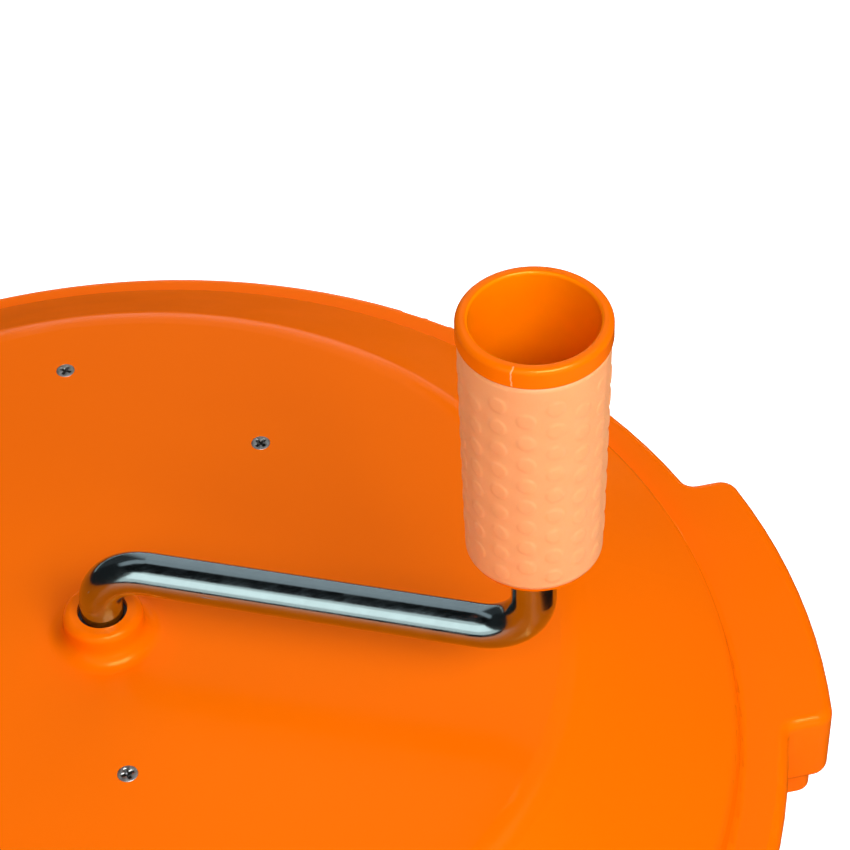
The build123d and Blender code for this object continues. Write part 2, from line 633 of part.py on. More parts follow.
def counter_gear():
    """Stepped gear on the counter axle: pinion above, wheel below."""
    body = gear(PINION_TEETH, 270 + 180 / PINION_TEETH, UPPER_LOW_Z)
    body += rod(MODULE * (PINION_TEETH - 2.5) / 2, LOWER_LOW_Z, UPPER_TOP_Z)
    body += gear(WHEEL_TEETH, 270 + 180 / WHEEL_TEETH, LOWER_LOW_Z)
    body -= rod(AXLE_RADIUS + RUNNING, LOWER_LOW_Z - 1, UPPER_TOP_Z + 1)
    root = WHEEL_TIP - 2.25 * MODULE
    body -= tube(root - 3.5, 2.2 * AXLE_RADIUS, LOWER_LOW_Z - 1, LOWER_LOW_Z + GEAR_WIDTH / 2)
    return in_gearbox(Pos(0, AXLE_Y, 0) * body)


def output_gear():
    """Output pinion with a hub through the gearbox cover and a hexagon end."""
    body = gear(PINION_TEETH, 90, LOWER_LOW_Z)
    body += rod(HUB_RADIUS, HEX_TOP_Z, LOWER_TOP_Z)
    hexagon = RegularPolygon(DRIVE_HEX / 2, 6, major_radius=False)
    body += Pos(0, 0, HEX_LOW_Z) * extrude(hexagon, HEX_TOP_Z - HEX_LOW_Z + 1)
    body -= rod(ROD_RADIUS + RUNNING, ROD_LOW_Z - FACE_GAP, LOWER_TOP_Z + 1)
    body -= rod(DRIVE_SCREW + SEAT, HEX_LOW_Z - 1, HEX_TOP_Z)
    return in_gearbox(body)


def drive_plate():
    """Plate over the basket with dogs in the rim notches, ribs and a hexagon socket."""
    hub = DRIVE_HEX / 2 + 8
    body = rod(BASKET_TOP_RADIUS + BASKET_FLANGE - 2, PLATE_LOW_Z, PLATE_TOP_Z)
    rib_outer = BASKET_TOP_RADIUS - 20
    rib = Pos(rib_outer / 2, 0, PLATE_TOP_Z + PLATE_RIB / 2 - 0.5) * Box(rib_outer, 3, PLATE_RIB + 1)
    body += [place * rib for place in PolarLocations(0, DOG_COUNT, start_angle=5)]
    body += tube(rib_outer, rib_outer - 3, PLATE_TOP_Z - 1, PLATE_TOP_Z + PLATE_RIB)
    body += tube(rib_outer / 2, rib_outer / 2 - 3, PLATE_TOP_Z - 1, PLATE_TOP_Z + PLATE_RIB)
    body += rod(hub, PLATE_HUB_Z, HEX_TOP_Z)
    hexagon = RegularPolygon(DRIVE_HEX / 2 + SEAT, 6, major_radius=False)
    body -= in_gearbox(Pos(0, 0, HEX_LOW_Z - AXIAL) * extrude(hexagon, HEX_TOP_Z - HEX_LOW_Z + 1))
    body -= rod(DRIVE_SCREW + SEAT, PLATE_HUB_Z - 1, HEX_TOP_Z)
    dog = Pos(0, 0, PLATE_LOW_Z - DOG_DEPTH / 2 + 0.5) * Box(2 * BASKET_FLANGE, DOG_WIDTH, DOG_DEPTH + 1)
    body += [place * dog for place in PolarLocations(BASKET_TOP_RADIUS - 2, DOG_COUNT, start_angle=5)]
    return body


def drive_washer():
    """Washer under the drive screw."""
    return tube(3 * DRIVE_SCREW, DRIVE_SCREW + SEAT, PLATE_HUB_Z - WASHER_THICK, PLATE_HUB_Z)


def drive_screw():
    """Screw that holds the drive plate on the output hub."""
    head_z = PLATE_HUB_Z - WASHER_THICK
    head = Pos(0, 0, head_z - 4) * extrude(RegularPolygon(5, 6, major_radius=False), 4)
    return head + rod(DRIVE_SCREW, head_z - 1, HEX_TOP_Z - 2)


def grip_core():
    """Hollow hand grip: tapered cup with a ring at the top and a bearing hub in its floor."""
    low_radius = GRIP_TOP_RADIUS - GRIP_TAPER
    outline = [
        (0, GRIP_LOW_Z),
        (low_radius, GRIP_LOW_Z),
        (GRIP_TOP_RADIUS, GRIP_RING_Z),
        (GRIP_RING_RADIUS, GRIP_RING_Z),
        (GRIP_RING_RADIUS, GRIP_TOP_Z),
        (GRIP_TOP_RADIUS - GRIP_WALL - 0.4, GRIP_TOP_Z),
        (GRIP_TOP_RADIUS - GRIP_WALL - 0.4, GRIP_TOP_Z - 2.5),
        (low_radius - GRIP_WALL, GRIP_LOW_Z + 4),
        (ROD_END_RADIUS + 5, GRIP_LOW_Z + 4),
        (ROD_END_RADIUS + 5, GRIP_HUB_Z),
        (0, GRIP_HUB_Z),
    ]
    body = turned(outline, [0, 1, 0, 1, 1.6, 1, 0, 1.5, 1.5, 0, 0])
    return at_grip(body - rod(ROD_END_RADIUS + RUNNING, GRIP_LOW_Z - 1, GRIP_HUB_Z + 1))


def sleeve_skin(lift, wall):
    """Tapered skin over the grip core: how far it lies off the core, and its thickness."""
    low = GRIP_LOW_Z + GRIP_SLEEVE_LIFT
    slope = GRIP_TAPER / (GRIP_RING_Z - GRIP_LOW_Z)
    inner_low = GRIP_TOP_RADIUS - GRIP_TAPER + slope * GRIP_SLEEVE_LIFT + lift
    inner_top = GRIP_TOP_RADIUS + lift
    outline = [(inner_low, low), (inner_low + wall, low), (inner_top + wall, GRIP_RING_Z), (inner_top, GRIP_RING_Z)]
    return turned(outline, 0)


def grip_sleeve():
    """Soft sleeve over the grip core with staggered columns of raised round dots."""
    body = sleeve_skin(SEAT, GRIP_SLEEVE)
    reach = GRIP_TOP_RADIUS + GRIP_SLEEVE + 2
    pins = []
    for column in range(DOT_COLUMNS):
        staggered = column % 2 == 0
        turn = Rot(0, 0, DOT_TURN - CRANK_AZIMUTH + 360 * column / DOT_COLUMNS)
        for row in range(DOT_ROWS - staggered):
            z = GRIP_RING_Z - DOT_FIRST - DOT_PITCH * (row + staggered / 2)
            pin = Pos(reach / 2, 0, z) * Rot(0, 90, 0) * Cylinder(DOT_RADIUS, reach)
            pins.append(turn * pin)
    skin = sleeve_skin(SEAT + GRIP_SLEEVE / 2, GRIP_SLEEVE / 2 + DOT_HEIGHT)
    return at_grip(body + [skin & pin for pin in pins])


def grip_washer():
    """Washer between the shoulder of the rod and the grip."""
    return at_grip(tube(ROD_END_RADIUS + 3.5, ROD_END_RADIUS + SEAT, SHOULDER_Z, GRIP_LOW_Z - AXIAL))


def grip_nut():
    """Push nut on the end of the rod inside the grip."""
    low = GRIP_HUB_Z + AXIAL
    body = tube(ROD_END_RADIUS + 4, ROD_END_RADIUS + SEAT, low, low + NUT_THICK)
    return at_grip(body)


NODES = [
    tub, tub_feet, pivot_pin, drain_spout, drain_gasket, drain_nut, drain_plug,
    basket, basket_bearing,
    lid, crank_bushing, gearbox_cover, gearbox_gasket, gearbox_screws, counter_axle, output_bushing,
    crank_rod, crank_gear, crank_pin, crank_washer, grip_washer, grip_nut,
    grip_core, grip_sleeve,
    counter_gear,
    output_gear, output_seal, drive_plate, drive_washer, drive_screw,
]

os.makedirs("parts", exist_ok=True)
for node in NODES:
    export_step(node(), os.path.join("parts", node.__name__ + ".step"))
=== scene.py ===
"""Looks of a hand-cranked salad spinner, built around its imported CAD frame."""
import math

import bmesh
import bpy
from mathutils import Matrix, Vector


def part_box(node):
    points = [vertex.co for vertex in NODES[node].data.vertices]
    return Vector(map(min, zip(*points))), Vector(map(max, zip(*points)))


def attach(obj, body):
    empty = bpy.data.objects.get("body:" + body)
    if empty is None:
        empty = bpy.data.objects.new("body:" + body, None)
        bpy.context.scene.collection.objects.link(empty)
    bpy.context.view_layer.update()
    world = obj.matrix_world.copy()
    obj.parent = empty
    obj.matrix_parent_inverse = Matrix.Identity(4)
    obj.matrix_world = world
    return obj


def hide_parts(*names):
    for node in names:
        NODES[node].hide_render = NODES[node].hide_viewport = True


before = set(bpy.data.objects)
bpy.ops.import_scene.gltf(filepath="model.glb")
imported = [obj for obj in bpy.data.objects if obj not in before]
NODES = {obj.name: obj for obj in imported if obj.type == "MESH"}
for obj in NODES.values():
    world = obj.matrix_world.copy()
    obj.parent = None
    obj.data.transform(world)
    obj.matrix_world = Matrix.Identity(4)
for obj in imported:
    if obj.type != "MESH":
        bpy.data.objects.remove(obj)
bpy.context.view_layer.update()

bl_info = {
    "name": "Salad spinner looks",
    "version": (1, 0, 0),
    "blender": (4, 5, 0),
    "location": "3D View > Sidebar > Spinner",
    "description": "Finishes, dotted grip sleeve, screws and studio for a hand-cranked salad spinner",
    "category": "Object",
}

TINY = 1e-6
NODE_RIGHT, NODE_DOWN, NODE_ROWS = 190, 60, 5  # layout of shader nodes in the editor

PLASTIC_IOR = 1.48
HAIRLINE_SCALE = 60.0
HAIRLINE_DULL = 0.25  # roughness that a hairline adds
CUP_BLEND = 0.0002  # width over which the tone of the cup gives way to that of the ring
# Painted light: the cup tone is lighter than the ring's, so the deep inside of the grip looks lit.
CELL_STEPS = 6  # mesh steps along each side of a dot's cell
# Rings of a dot from its foot to its top: share of the radius, share of the height
DOT_PROFILE = ((1.14, 0.0), (1.02, 0.10), (0.93, 0.42), (0.82, 0.76), (0.66, 0.95), (0.36, 1.0))

SCREW_REACH = 0.01  # points of the CAD node within this of each other belong to one screw
HEAD_EDGE, HEAD_BEVEL = 0.0001, 0.00012  # height and width of the broken edge round a screw's head
RECESS_EDGE, RECESS_BEVEL = 0.00008, 0.0001  # the same round its cross
RECESS_STEPS = ((0.35, 1.0), (0.72, 0.75))  # share of the cross and of its depth, from the floor up
POINT_SHARE = 0.15  # a screw's tip against its shank
FIRST_TURN, NEXT_TURN = 0.25, 0.7  # angle of the first screw's cross and step to the next one's
# Painted shade: a near-black, dull, non-metal tone in each screw's cross recess and below the top of its
# head, standing in for the shade there; the two depths below say where it is full and where it ends.
PAINTED_SHADE = (0.012, 0.011, 0.009)
PAINTED_SHADE_FULL, PAINTED_SHADE_NONE = 0.0003, 0.00005  # depths below a screw's top

FLOOR_WIDTH = 12.0
FLOOR_TONES = ((0.80, 0.80, 0.80), (0.84, 0.84, 0.84))
FLOOR_NEAR, FLOOR_FAR = 0.7, 2.0  # the floor keeps shade near the object and is plain white far away
FLOOR_LIFT = 0.72  # glow of the near floor
CARD_COOL = 1.1  # blue of a card against its red and green
CARD_FADED = 0.08  # glow of a fading card's dim side
SENSOR = 36.0  # width in mm

LID_AIM = (0.04, -0.03, 0.40)
TUB_AIM = (0.0, 0.0, 0.18)
# Soft boxes: name, place, aim, size, share of the key's power, seen in reflections
LAMPS = (
    ("key_box", (0.475, -0.78, 1.285), LID_AIM, (0.60, 0.45), 1.0, False),
    ("left_box", (-0.17, -0.84, 1.375), LID_AIM, (0.60, 0.45), 0.62, False),
    ("low_box", (0.30, -1.25, 0.55), LID_AIM, (0.80, 0.40), 0.40, False),
    ("front_box", (-0.72, -1.10, 1.10), LID_AIM, (1.30, 0.85), 0.31, True),
    ("right_box", (0.95, -0.56, 1.00), LID_AIM, (0.50, 0.50), 0.22, False),
    ("back_box", (0.50, 1.50, 0.55), LID_AIM, (1.40, 0.40), 2.55, False),
    ("top_box", (0.10, 0.50, 1.30), LID_AIM, (0.80, 0.60), 0.13, False),
    ("side_box", (-1.25, 0.75, 0.20), TUB_AIM, (0.60, 0.25), 0.53, False),
)
# Cards that only reflections see: name, place, aim, size, tone, fade across the card
CARDS = (
    ("spark_card", (0.24, -0.56, 1.30), LID_AIM, (0.60, 0.34), 24.0, None),
    ("edge_card", (0.70, 0.10, 1.40), LID_AIM, (0.30, 0.30), 2.0, None),
    ("sky_card", (0.12, 1.75, 1.66), (0.12, 0, 1.66), (1.20, 2.68), 0.5, (-0.12, 0.60)),
    ("back_card", (0.2, 1.80, 1.66), (0.2, 0, 1.66), (5.0, 2.68), 0.05, None),
    ("top_card", (0.1, 0.6, 2.6), (0.1, 0.6, 0.4), (5.0, 3.0), 0.45, None),
    ("floor_card", (0.0, 0.0, 0.004), (0.0, 0.0, -1.0), (9.0, 9.0), 0.006, None),
    ("dark_card", (0.05, -0.12, 1.75), (0.05, -0.12, 0.4), (3.0, 1.15), 0.006, None),
    ("left_card", (-1.6, 0.3, 1.0), (0.0, 0.3, 1.0), (2.4, 1.9), 0.02, None),
    ("right_card", (1.6, 0.5, 1.0), (0.0, 0.5, 1.0), (4.8, 1.9), 0.02, None),
)


def middle_of(node):
    """Middle of a CAD node's box."""
    low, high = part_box(node)
    return (low + high) / 2


class SpinnerColours(bpy.types.PropertyGroup):
    """Colours of the spinner's finishes."""

    shell: bpy.props.FloatVectorProperty(
        name="Shell", description="Moulded lid and tub", subtype="COLOR", size=3, min=0, max=1,
        default=(1.0, 0.166, 0.0))
    shell_deep: bpy.props.FloatVectorProperty(
        name="Shell deep", description="Slightly darker flow marks of the lid and tub", subtype="COLOR",
        size=3, min=0, max=1, default=(0.96, 0.153, 0.0))
    sheen: bpy.props.FloatVectorProperty(
        name="Sheen", description="Tint of the gloss on the dyed plastic", subtype="COLOR", size=3,
        min=0, max=1, default=(1.0, 0.56, 0.14))
    grip: bpy.props.FloatVectorProperty(
        name="Grip core", description="Moulded core and ring of the hand grip", subtype="COLOR", size=3,
        min=0, max=1, default=(1.0, 0.170, 0.0))
    # Painted light: the cup is the same plastic as the ring but gets a lighter tone, standing in for light
    # that does not reach deep into the hollow grip.
    cup: bpy.props.FloatVectorProperty(
        name="Cup", description="Smooth inside of the hollow grip", subtype="COLOR", size=3, min=0, max=1,
        default=(1.0, 0.238, 0.0))
    sleeve: bpy.props.FloatVectorProperty(
        name="Sleeve", description="Soft dotted sleeve of the grip", subtype="COLOR", size=3, min=0, max=1,
        default=(1.0, 0.388, 0.150))
    steel: bpy.props.FloatVectorProperty(
        name="Rod steel", description="Polished crank rod", subtype="COLOR", size=3, min=0, max=1,
        default=(0.35, 0.465, 0.47))
    zinc: bpy.props.FloatVectorProperty(
        name="Plated steel", description="Screws, pins and washers", subtype="COLOR", size=3, min=0, max=1,
        default=(0.46, 0.47, 0.43))
    natural: bpy.props.FloatVectorProperty(
        name="Natural plastic", description="Basket, drive plate and gearbox cover", subtype="COLOR", size=3,
        min=0, max=1, default=(0.80, 0.79, 0.75))
    gear: bpy.props.FloatVectorProperty(
        name="Gear plastic", description="Gears", subtype="COLOR", size=3, min=0, max=1,
        default=(0.74, 0.70, 0.60))
    bearing: bpy.props.FloatVectorProperty(
        name="Bearing plastic", description="Bushings and thrust washers", subtype="COLOR", size=3,
        min=0, max=1, default=(0.05, 0.05, 0.055))
    rubber: bpy.props.FloatVectorProperty(
        name="Rubber", description="Feet, gaskets and drain plug", subtype="COLOR", size=3, min=0, max=1,
        default=(0.025, 0.025, 0.027))


class SpinnerSizes(bpy.types.PropertyGroup):
    """Sizes of the pieces that are made here."""

    dot_columns: bpy.props.IntProperty(
        name="Dot columns", description="Columns of raised dots round the sleeve, an even number",
        default=16, min=8)
    dot_pitch: bpy.props.FloatProperty(
        name="Dot pitch", description="Distance between dots along the grip", unit="LENGTH", default=0.00783)
    dot_radius: bpy.props.FloatProperty(
        name="Dot radius", description="Radius of one raised dot", unit="LENGTH", default=0.0027)
    dot_height: bpy.props.FloatProperty(
        name="Dot height", description="How far a dot stands out of the sleeve", unit="LENGTH",
        default=0.00024)
    dot_first: bpy.props.FloatProperty(
        name="First dot", description="From the sleeve's top edge to the first dot", unit="LENGTH",
        default=0.0076)
    dot_bearing: bpy.props.FloatProperty(
        name="Dot bearing", description="Angle of the first, staggered dot column", subtype="ANGLE",
        default=math.radians(-110.5))
    sleeve_taper: bpy.props.FloatProperty(
        name="Sleeve taper", description="How much narrower the sleeve's lower end is in radius",
        unit="LENGTH", default=0.00117)
    sleeve_inset: bpy.props.FloatProperty(
        name="Sleeve inset", description="How far the sleeve's top edge lies inside the grip's ring",
        unit="LENGTH", default=0.00045)
    ring_wall: bpy.props.FloatProperty(
        name="Ring wall", description="Thickness of the grip's ring, up to the inside of the cup",
        unit="LENGTH", default=0.0029)
    seam_bearing: bpy.props.FloatProperty(
        name="Seam bearing", description="Angle of the moulding seam on the grip's ring", subtype="ANGLE",
        default=math.radians(-121))
    seam_height: bpy.props.FloatProperty(
        name="Seam height", description="How far the seam comes down from the top of the ring",
        unit="LENGTH", default=0.0055)
    seam_half: bpy.props.FloatProperty(
        name="Seam half width", description="Half the width of the seam", unit="LENGTH", default=0.00018)
    seam_sway: bpy.props.FloatProperty(
        name="Seam sway", description="How far the seam strays from a straight line", unit="LENGTH",
        default=0.0016)
    sleeve_wall: bpy.props.FloatProperty(
        name="Sleeve wall", description="Thickness of the sleeve", unit="LENGTH", default=0.0008)
    recess_arm: bpy.props.FloatProperty(
        name="Recess arm", description="Length of one arm of a screw's cross recess", unit="LENGTH",
        default=0.0020)
    recess_width: bpy.props.FloatProperty(
        name="Recess width", description="Width of an arm of the cross recess", unit="LENGTH",
        default=0.0011)
    recess_depth: bpy.props.FloatProperty(
        name="Recess depth", description="Depth of the cross recess", unit="LENGTH", default=0.0016)


class SpinnerStage(bpy.types.PropertyGroup):
    """Camera and light."""

    camera_place: bpy.props.FloatVectorProperty(
        name="Camera place", description="Where the camera stands", subtype="TRANSLATION", unit="LENGTH",
        size=3, default=(-0.0132, -0.5551, 0.9971))
    heading: bpy.props.FloatProperty(
        name="Heading", description="Camera heading from +Y towards +X", subtype="ANGLE",
        default=math.radians(11.4))
    pitch: bpy.props.FloatProperty(
        name="Pitch", description="How far the camera looks down", subtype="ANGLE",
        default=math.radians(44.609))
    roll: bpy.props.FloatProperty(
        name="Roll", description="Camera roll", subtype="ANGLE", default=math.radians(-2.141))
    lens: bpy.props.FloatProperty(
        name="Lens", description="Focal length on a 36 mm sensor", subtype="DISTANCE_CAMERA", unit="CAMERA",
        default=117.96)
    key_power: bpy.props.FloatProperty(
        name="Key power", description="Power of the soft box in front", unit="POWER", default=8.3)
    fill: bpy.props.FloatProperty(
        name="Fill", description="Brightness of the surrounding studio", default=0.14, min=0)


def colours():
    """The scene's colours of the finishes."""
    return bpy.context.scene.spinner_colours


def sizes():
    """The scene's sizes of the pieces that are made here."""
    return bpy.context.scene.spinner_sizes


class Graph:
    """Small helper that adds and links shader nodes."""

    def __init__(self, tree):
        self.tree = tree
        self.column = 0

    def add(self, kind, values=(), **settings):
        """A node with its settings, and with values or links on its inputs."""
        node = self.tree.nodes.new(kind)
        self.column += 1
        node.location = (self.column * NODE_RIGHT, -NODE_DOWN * (self.column % NODE_ROWS))
        for name, value in settings.items():
            setattr(node, name, value)
        for socket, value in values:
            if isinstance(value, bpy.types.NodeSocket):
                self.tree.links.new(value, node.inputs[socket])
            else:
                node.inputs[socket].default_value = value
        return node

    def link(self, source, target):
        """Joins an output to an input."""
        self.tree.links.new(source, target)


def new_group(name, inputs, outputs):
    """An empty shader node group with named sockets."""
    tree = bpy.data.node_groups.new(name, "ShaderNodeTree")
    for label, kind, default in inputs:
        socket = tree.interface.new_socket(label, in_out="INPUT", socket_type=kind)
        socket.default_value = default
    for label, kind in outputs:
        tree.interface.new_socket(label, in_out="OUTPUT", socket_type=kind)
    graph = Graph(tree)
    return tree, graph, graph.add("NodeGroupInput"), graph.add("NodeGroupOutput")


def new_skin(name, *more):
    """An empty node group for a finish, with two tones, two limits of gloss and further inputs of its own."""
    inputs = [
        ("Tone", "NodeSocketColor", (1, 1, 1, 1)),
        ("Deep Tone", "NodeSocketColor", (0.5, 0.5, 0.5, 1)),
        ("Gloss Low", "NodeSocketFloat", 0.25),
        ("Gloss High", "NodeSocketFloat", 0.4),
        *more,
    ]
    outputs = [("Color", "NodeSocketColor"), ("Roughness", "NodeSocketFloat"), ("Height", "NodeSocketFloat")]
    return new_group(name, inputs, outputs)


def blend_tones(g, ins, share):
    """A finish's two tones, mixed by a share."""
    tone = g.add("ShaderNodeMix", [("Factor", share)], data_type="RGBA")
    g.link(ins.outputs["Deep Tone"], tone.inputs[6])
    g.link(ins.outputs["Tone"], tone.inputs[7])
    return tone.outputs[2]


def spread_gloss(g, ins, value, least, most):
    """A value spread between a finish's two limits of gloss."""
    return g.add("ShaderNodeMapRange", [("Value", value), ("From Min", least), ("From Max", most),
                                        ("To Min", ins.outputs["Gloss Low"]),
                                        ("To Max", ins.outputs["Gloss High"])]).outputs["Result"]


def put_out(g, outs, tone, gloss, height):
    """Feeds a finish's tone, gloss and relief to the outputs of its group."""
    for label, source in (("Color", tone), ("Roughness", gloss), ("Height", height)):
        g.link(source, outs.inputs[label])


def moulded_skin():
    """Flow marks, uneven gloss and fine grain of an injection-moulded skin."""
    found = bpy.data.node_groups.get("Moulded skin")
    if found:
        return found
    tree, g, ins, outs = new_skin("Moulded skin", ("Flow Scale", "NodeSocketFloat", 6.0),
                                  ("Grain Scale", "NodeSocketFloat", 1800.0))
    place = g.add("ShaderNodeTexCoord").outputs["Object"]
    flow = g.add("ShaderNodeTexNoise", [("Vector", place), ("Scale", ins.outputs["Flow Scale"]),
                                        ("Detail", 3.0), ("Roughness", 0.45), ("Distortion", 0.8)])
    cloud = g.add("ShaderNodeMapRange", [("Value", flow.outputs["Fac"]),
                                         ("From Min", 0.32), ("From Max", 0.68)])
    haze = g.add("ShaderNodeTexNoise", [("Vector", place), ("Scale", 38.0), ("Detail", 5.0),
                                        ("Roughness", 0.6)])
    grain = g.add("ShaderNodeTexNoise", [("Vector", place), ("Scale", ins.outputs["Grain Scale"]),
                                         ("Detail", 2.0)])
    wave = g.add("ShaderNodeTexNoise", [("Vector", place), ("Scale", 24.0), ("Detail", 1.0)])
    height = g.add("ShaderNodeMath", [(0, wave.outputs["Fac"]), (1, 3.0), (2, grain.outputs["Fac"])],
                   operation="MULTIPLY_ADD")
    put_out(g, outs, blend_tones(g, ins, cloud.outputs["Result"]),
            spread_gloss(g, ins, haze.outputs["Fac"], 0.3, 0.7), height.outputs[0])
    return tree


def rubber_skin():
    """Cloudy tone, satin gloss and fine leathery grain of soft rubber."""
    found = bpy.data.node_groups.get("Rubber skin")
    if found:
        return found
    tree, g, ins, outs = new_skin("Rubber skin")
    place = g.add("ShaderNodeTexCoord").outputs["Object"]
    cloud = g.add("ShaderNodeTexNoise", [("Vector", place), ("Scale", 70.0), ("Detail", 4.0)])
    cells = g.add("ShaderNodeTexVoronoi", [("Vector", place), ("Scale", 1400.0)], feature="F1")
    put_out(g, outs, blend_tones(g, ins, cloud.outputs["Fac"]),
            spread_gloss(g, ins, cells.outputs["Distance"], 0.0, 0.7), cells.outputs["Distance"])
    return tree


def drawn_skin():
    """Lengthwise draw lines, cloudy polish and small dents of drawn steel."""
    found = bpy.data.node_groups.get("Drawn skin")
    if found:
        return found
    tree, g, ins, outs = new_skin("Drawn skin", ("Bearing", "NodeSocketFloat", 0.0))
    place = g.add("ShaderNodeTexCoord").outputs["Object"]
    turn = g.add("ShaderNodeCombineXYZ", [("Z", ins.outputs["Bearing"])])
    drawn = g.add("ShaderNodeMapping", [("Vector", place), ("Rotation", turn.outputs[0]),
                                        ("Scale", (0.02, 1.0, 1.0))])
    lines = g.add("ShaderNodeTexNoise", [("Vector", drawn.outputs[0]), ("Scale", 1500.0), ("Detail", 3.0)])
    cloud = g.add("ShaderNodeTexNoise", [("Vector", place), ("Scale", 160.0), ("Detail", 5.0),
                                         ("Roughness", 0.65)])
    both = g.add("ShaderNodeMath", [(0, cloud.outputs["Fac"]), (1, lines.outputs["Fac"])], operation="ADD")
    dents = g.add("ShaderNodeTexVoronoi", [("Vector", place), ("Scale", 55.0), ("Randomness", 1.0)],
                  feature="F1")
    pit = g.add("ShaderNodeMapRange", [("Value", dents.outputs["Distance"]),
                                       ("From Min", 0.04), ("From Max", 0.09)])
    relief = g.add("ShaderNodeMath", [(0, lines.outputs["Fac"]), (1, 0.12), (2, pit.outputs["Result"])],
                   operation="MULTIPLY_ADD")
    put_out(g, outs, blend_tones(g, ins, cloud.outputs["Fac"]),
            spread_gloss(g, ins, both.outputs[0], 0.7, 1.3), relief.outputs[0])
    return tree


def hairlines():
    """Sparse fine scratches in three directions, as a mask."""
    found = bpy.data.node_groups.get("Hairlines")
    if found:
        return found
    tree, g, ins, outs = new_group(
        "Hairlines",
        [("Scale", "NodeSocketFloat", 60.0), ("Amount", "NodeSocketFloat", 0.5)],
        [("Mask", "NodeSocketFloat")],
    )
    place = g.add("ShaderNodeTexCoord").outputs["Object"]
    sized = g.add("ShaderNodeVectorMath", [(0, place)], operation="SCALE")
    g.link(ins.outputs["Scale"], sized.inputs["Scale"])
    last = None
    for turn, seed in ((0.35, 1.0), (1.6, 7.0), (2.5, 13.0)):
        spun = g.add("ShaderNodeMapping", [("Vector", sized.outputs[0]), ("Location", (seed, seed * 2, 0)),
                                           ("Rotation", (0, 0, turn)), ("Scale", (1.0, 0.045, 0.4))])
        lines = g.add("ShaderNodeTexNoise", [("Vector", spun.outputs[0]), ("Scale", 3.0), ("Detail", 2.0)])
        ridge = g.add("ShaderNodeMapRange", [("Value", lines.outputs["Fac"]),
                                             ("From Min", 0.66), ("From Max", 0.74)])
        if last is None:
            last = ridge.outputs["Result"]
        else:
            last = g.add("ShaderNodeMath", [(0, last), (1, ridge.outputs["Result"])],
                         operation="MAXIMUM").outputs[0]
    patch = g.add("ShaderNodeTexNoise", [("Vector", place), ("Scale", 11.0), ("Detail", 2.0)])
    area = g.add("ShaderNodeMapRange", [("Value", patch.outputs["Fac"]),
                                        ("From Min", 0.42), ("From Max", 0.66)])
    worn = g.add("ShaderNodeMath", [(0, last), (1, area.outputs["Result"])], operation="MULTIPLY")
    mask = g.add("ShaderNodeMath", [(0, worn.outputs[0]), (1, ins.outputs["Amount"])], operation="MULTIPLY")
    g.link(mask.outputs[0], outs.inputs["Mask"])
    return tree


def bare_material(name):
    """A material with no nodes, and its graph."""
    material = bpy.data.materials.new(name)
    material.use_nodes = True
    material.node_tree.nodes.clear()
    return material, Graph(material.node_tree)


def show(g, shader):
    """Links a shader to the material's surface."""
    output = g.add("ShaderNodeOutputMaterial")
    g.link(shader.outputs[0], output.inputs["Surface"])


def new_material(name):
    """A material with a Principled shader, and its graph."""
    material, g = bare_material(name)
    shader = g.add("ShaderNodeBsdfPrincipled")
    show(g, shader)
    return material, g, shader


def shader_of(material):
    """The Principled shader of a finish."""
    return next(n for n in material.node_tree.nodes if n.bl_idname == "ShaderNodeBsdfPrincipled")


def lay_over(g, shader, mask, tone):
    """Puts a tone over a finish where a mask is one."""
    tint = g.add("ShaderNodeMix", [("Factor", mask)], data_type="RGBA")
    g.link(shader.inputs["Base Color"].links[0].from_socket, tint.inputs[6])
    tint.inputs[7].default_value = colour4(tone)
    g.link(tint.outputs[2], shader.inputs["Base Color"])


def colour4(value):
    """A colour with its alpha."""
    return (*value, 1.0)


def deeper(value, share):
    """A colour times a share; above one it is lighter."""
    return tuple(c * share for c in value)


def skinned_material(name, group, tone, deep, gloss, relief, strength, more=()):
    """A material whose colour, gloss and relief come from the node group of a finish."""
    material, g, shader = new_material(name)
    values = [("Tone", colour4(tone)), ("Deep Tone", colour4(deep)), ("Gloss Low", gloss[0]),
              ("Gloss High", gloss[1]), *more]
    skin = g.add("ShaderNodeGroup", values, node_tree=group)
    bump = g.add("ShaderNodeBump", [("Height", skin.outputs["Height"]), ("Distance", relief),
                                    ("Strength", strength)])
    g.link(skin.outputs["Color"], shader.inputs["Base Color"])
    g.link(skin.outputs["Roughness"], shader.inputs["Roughness"])
    g.link(bump.outputs["Normal"], shader.inputs["Normal"])
    return material, g, shader


def moulded_plastic(name, tone, deep, gloss, flow=6.0, scratch=0.5, specular=0.5, sheen=(1, 1, 1)):
    """Injection-moulded plastic with flow marks, uneven gloss, fine grain and hairlines."""
    material, g, shader = skinned_material(name, moulded_skin(), tone, deep, gloss, relief=0.00002,
                                           strength=0.6, more=[("Flow Scale", flow)])
    lines = g.add("ShaderNodeGroup", [("Scale", HAIRLINE_SCALE), ("Amount", scratch)],
                  node_tree=hairlines())
    plain = shader.inputs["Roughness"].links[0].from_socket
    rough = g.add("ShaderNodeMath", [(0, lines.outputs["Mask"]), (1, HAIRLINE_DULL), (2, plain)],
                  operation="MULTIPLY_ADD")
    g.link(rough.outputs[0], shader.inputs["Roughness"])
    shader.inputs["IOR"].default_value = PLASTIC_IOR
    shader.inputs["Specular IOR Level"].default_value = specular
    shader.inputs["Specular Tint"].default_value = colour4(sheen)
    return material


def soft_rubber(name, tone, deep, gloss, relief):
    """Soft rubber: cloudy tone, satin gloss and a fine leathery grain."""
    material, _, _ = skinned_material(name, rubber_skin(), tone, deep, gloss, relief, strength=0.5)
    return material


def polished_steel(name, tone, along, gloss):
    """Drawn steel: lengthwise draw lines, cloudy polish and small dents."""
    material, _, shader = skinned_material(name, drawn_skin(), deeper(tone, 1.12), deeper(tone, 0.84), gloss,
                                           relief=0.00006, strength=0.35, more=[("Bearing", along)])
    shader.inputs["Metallic"].default_value = 1.0
    return material


def dress(material, *names):
    """Gives CAD nodes a finish."""
    for name in names:
        mesh = NODES[name].data
        mesh.materials.clear()
        mesh.materials.append(material)


